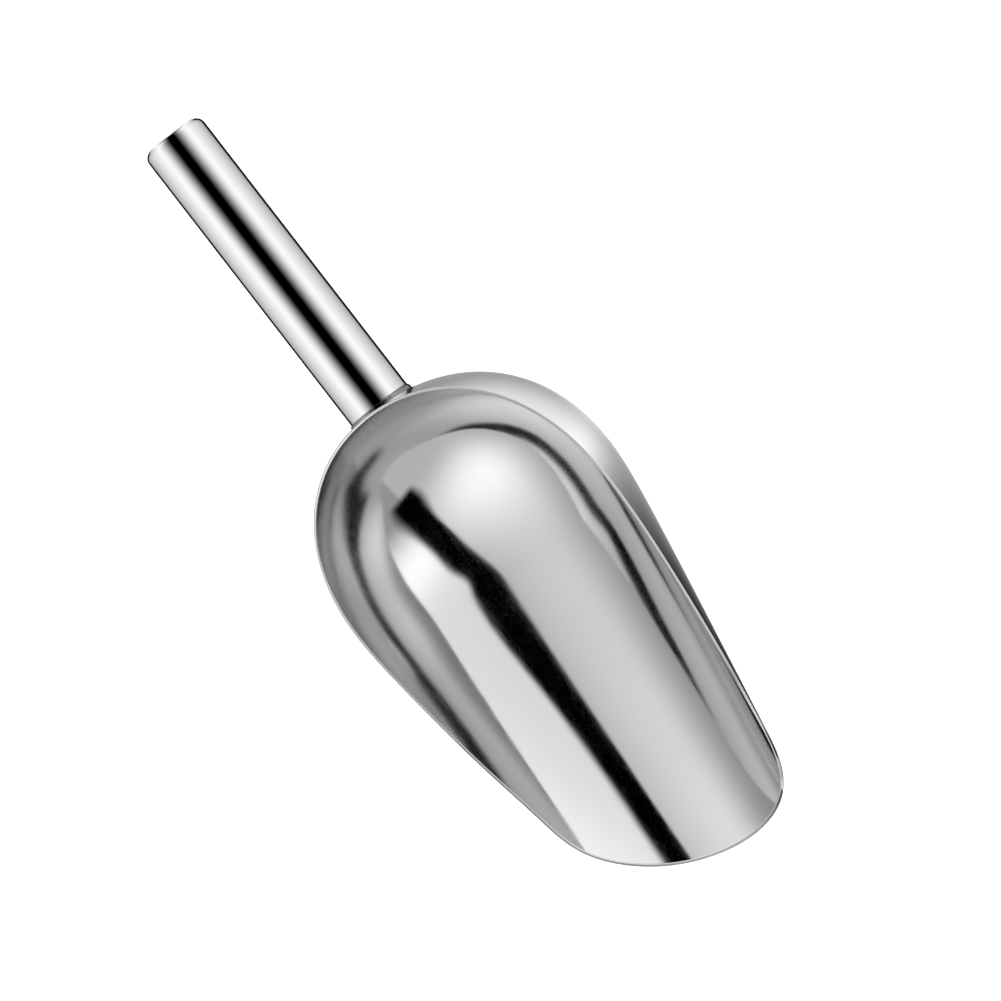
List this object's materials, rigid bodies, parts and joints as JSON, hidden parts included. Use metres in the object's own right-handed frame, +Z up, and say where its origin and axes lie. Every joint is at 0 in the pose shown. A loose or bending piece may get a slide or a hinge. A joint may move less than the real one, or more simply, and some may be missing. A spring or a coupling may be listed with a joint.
{
  "type": "ice scoop",
  "caption": "Hand scoop with a round-backed open trough of polished sheet, a raked rim and rounded lip, and a straight hollow tube handle welded to the back.",
  "frame": {"origin": "bottom centre of the whole scoop in the pose in which it rests on a table", "axes": "+X along the scoop from handle to lip, +Z up, bowl open upwards"},
  "size_m": [0.2874, 0.1114, 0.0543],
  "materials": {
    "polished_sheet": "mirror-polished stainless steel sheet",
    "polished_tube": "mirror-polished stainless steel tube",
    "weld_bead": "brushed weld metal"
  },
  "bodies": {
    "root": {"bowl": "polished_sheet", "handle_tube": "polished_tube", "end_cap": "polished_tube", "end_cap_weld": "polished_tube", "neck_weld": "weld_bead"}
  },
  "joints": []
}
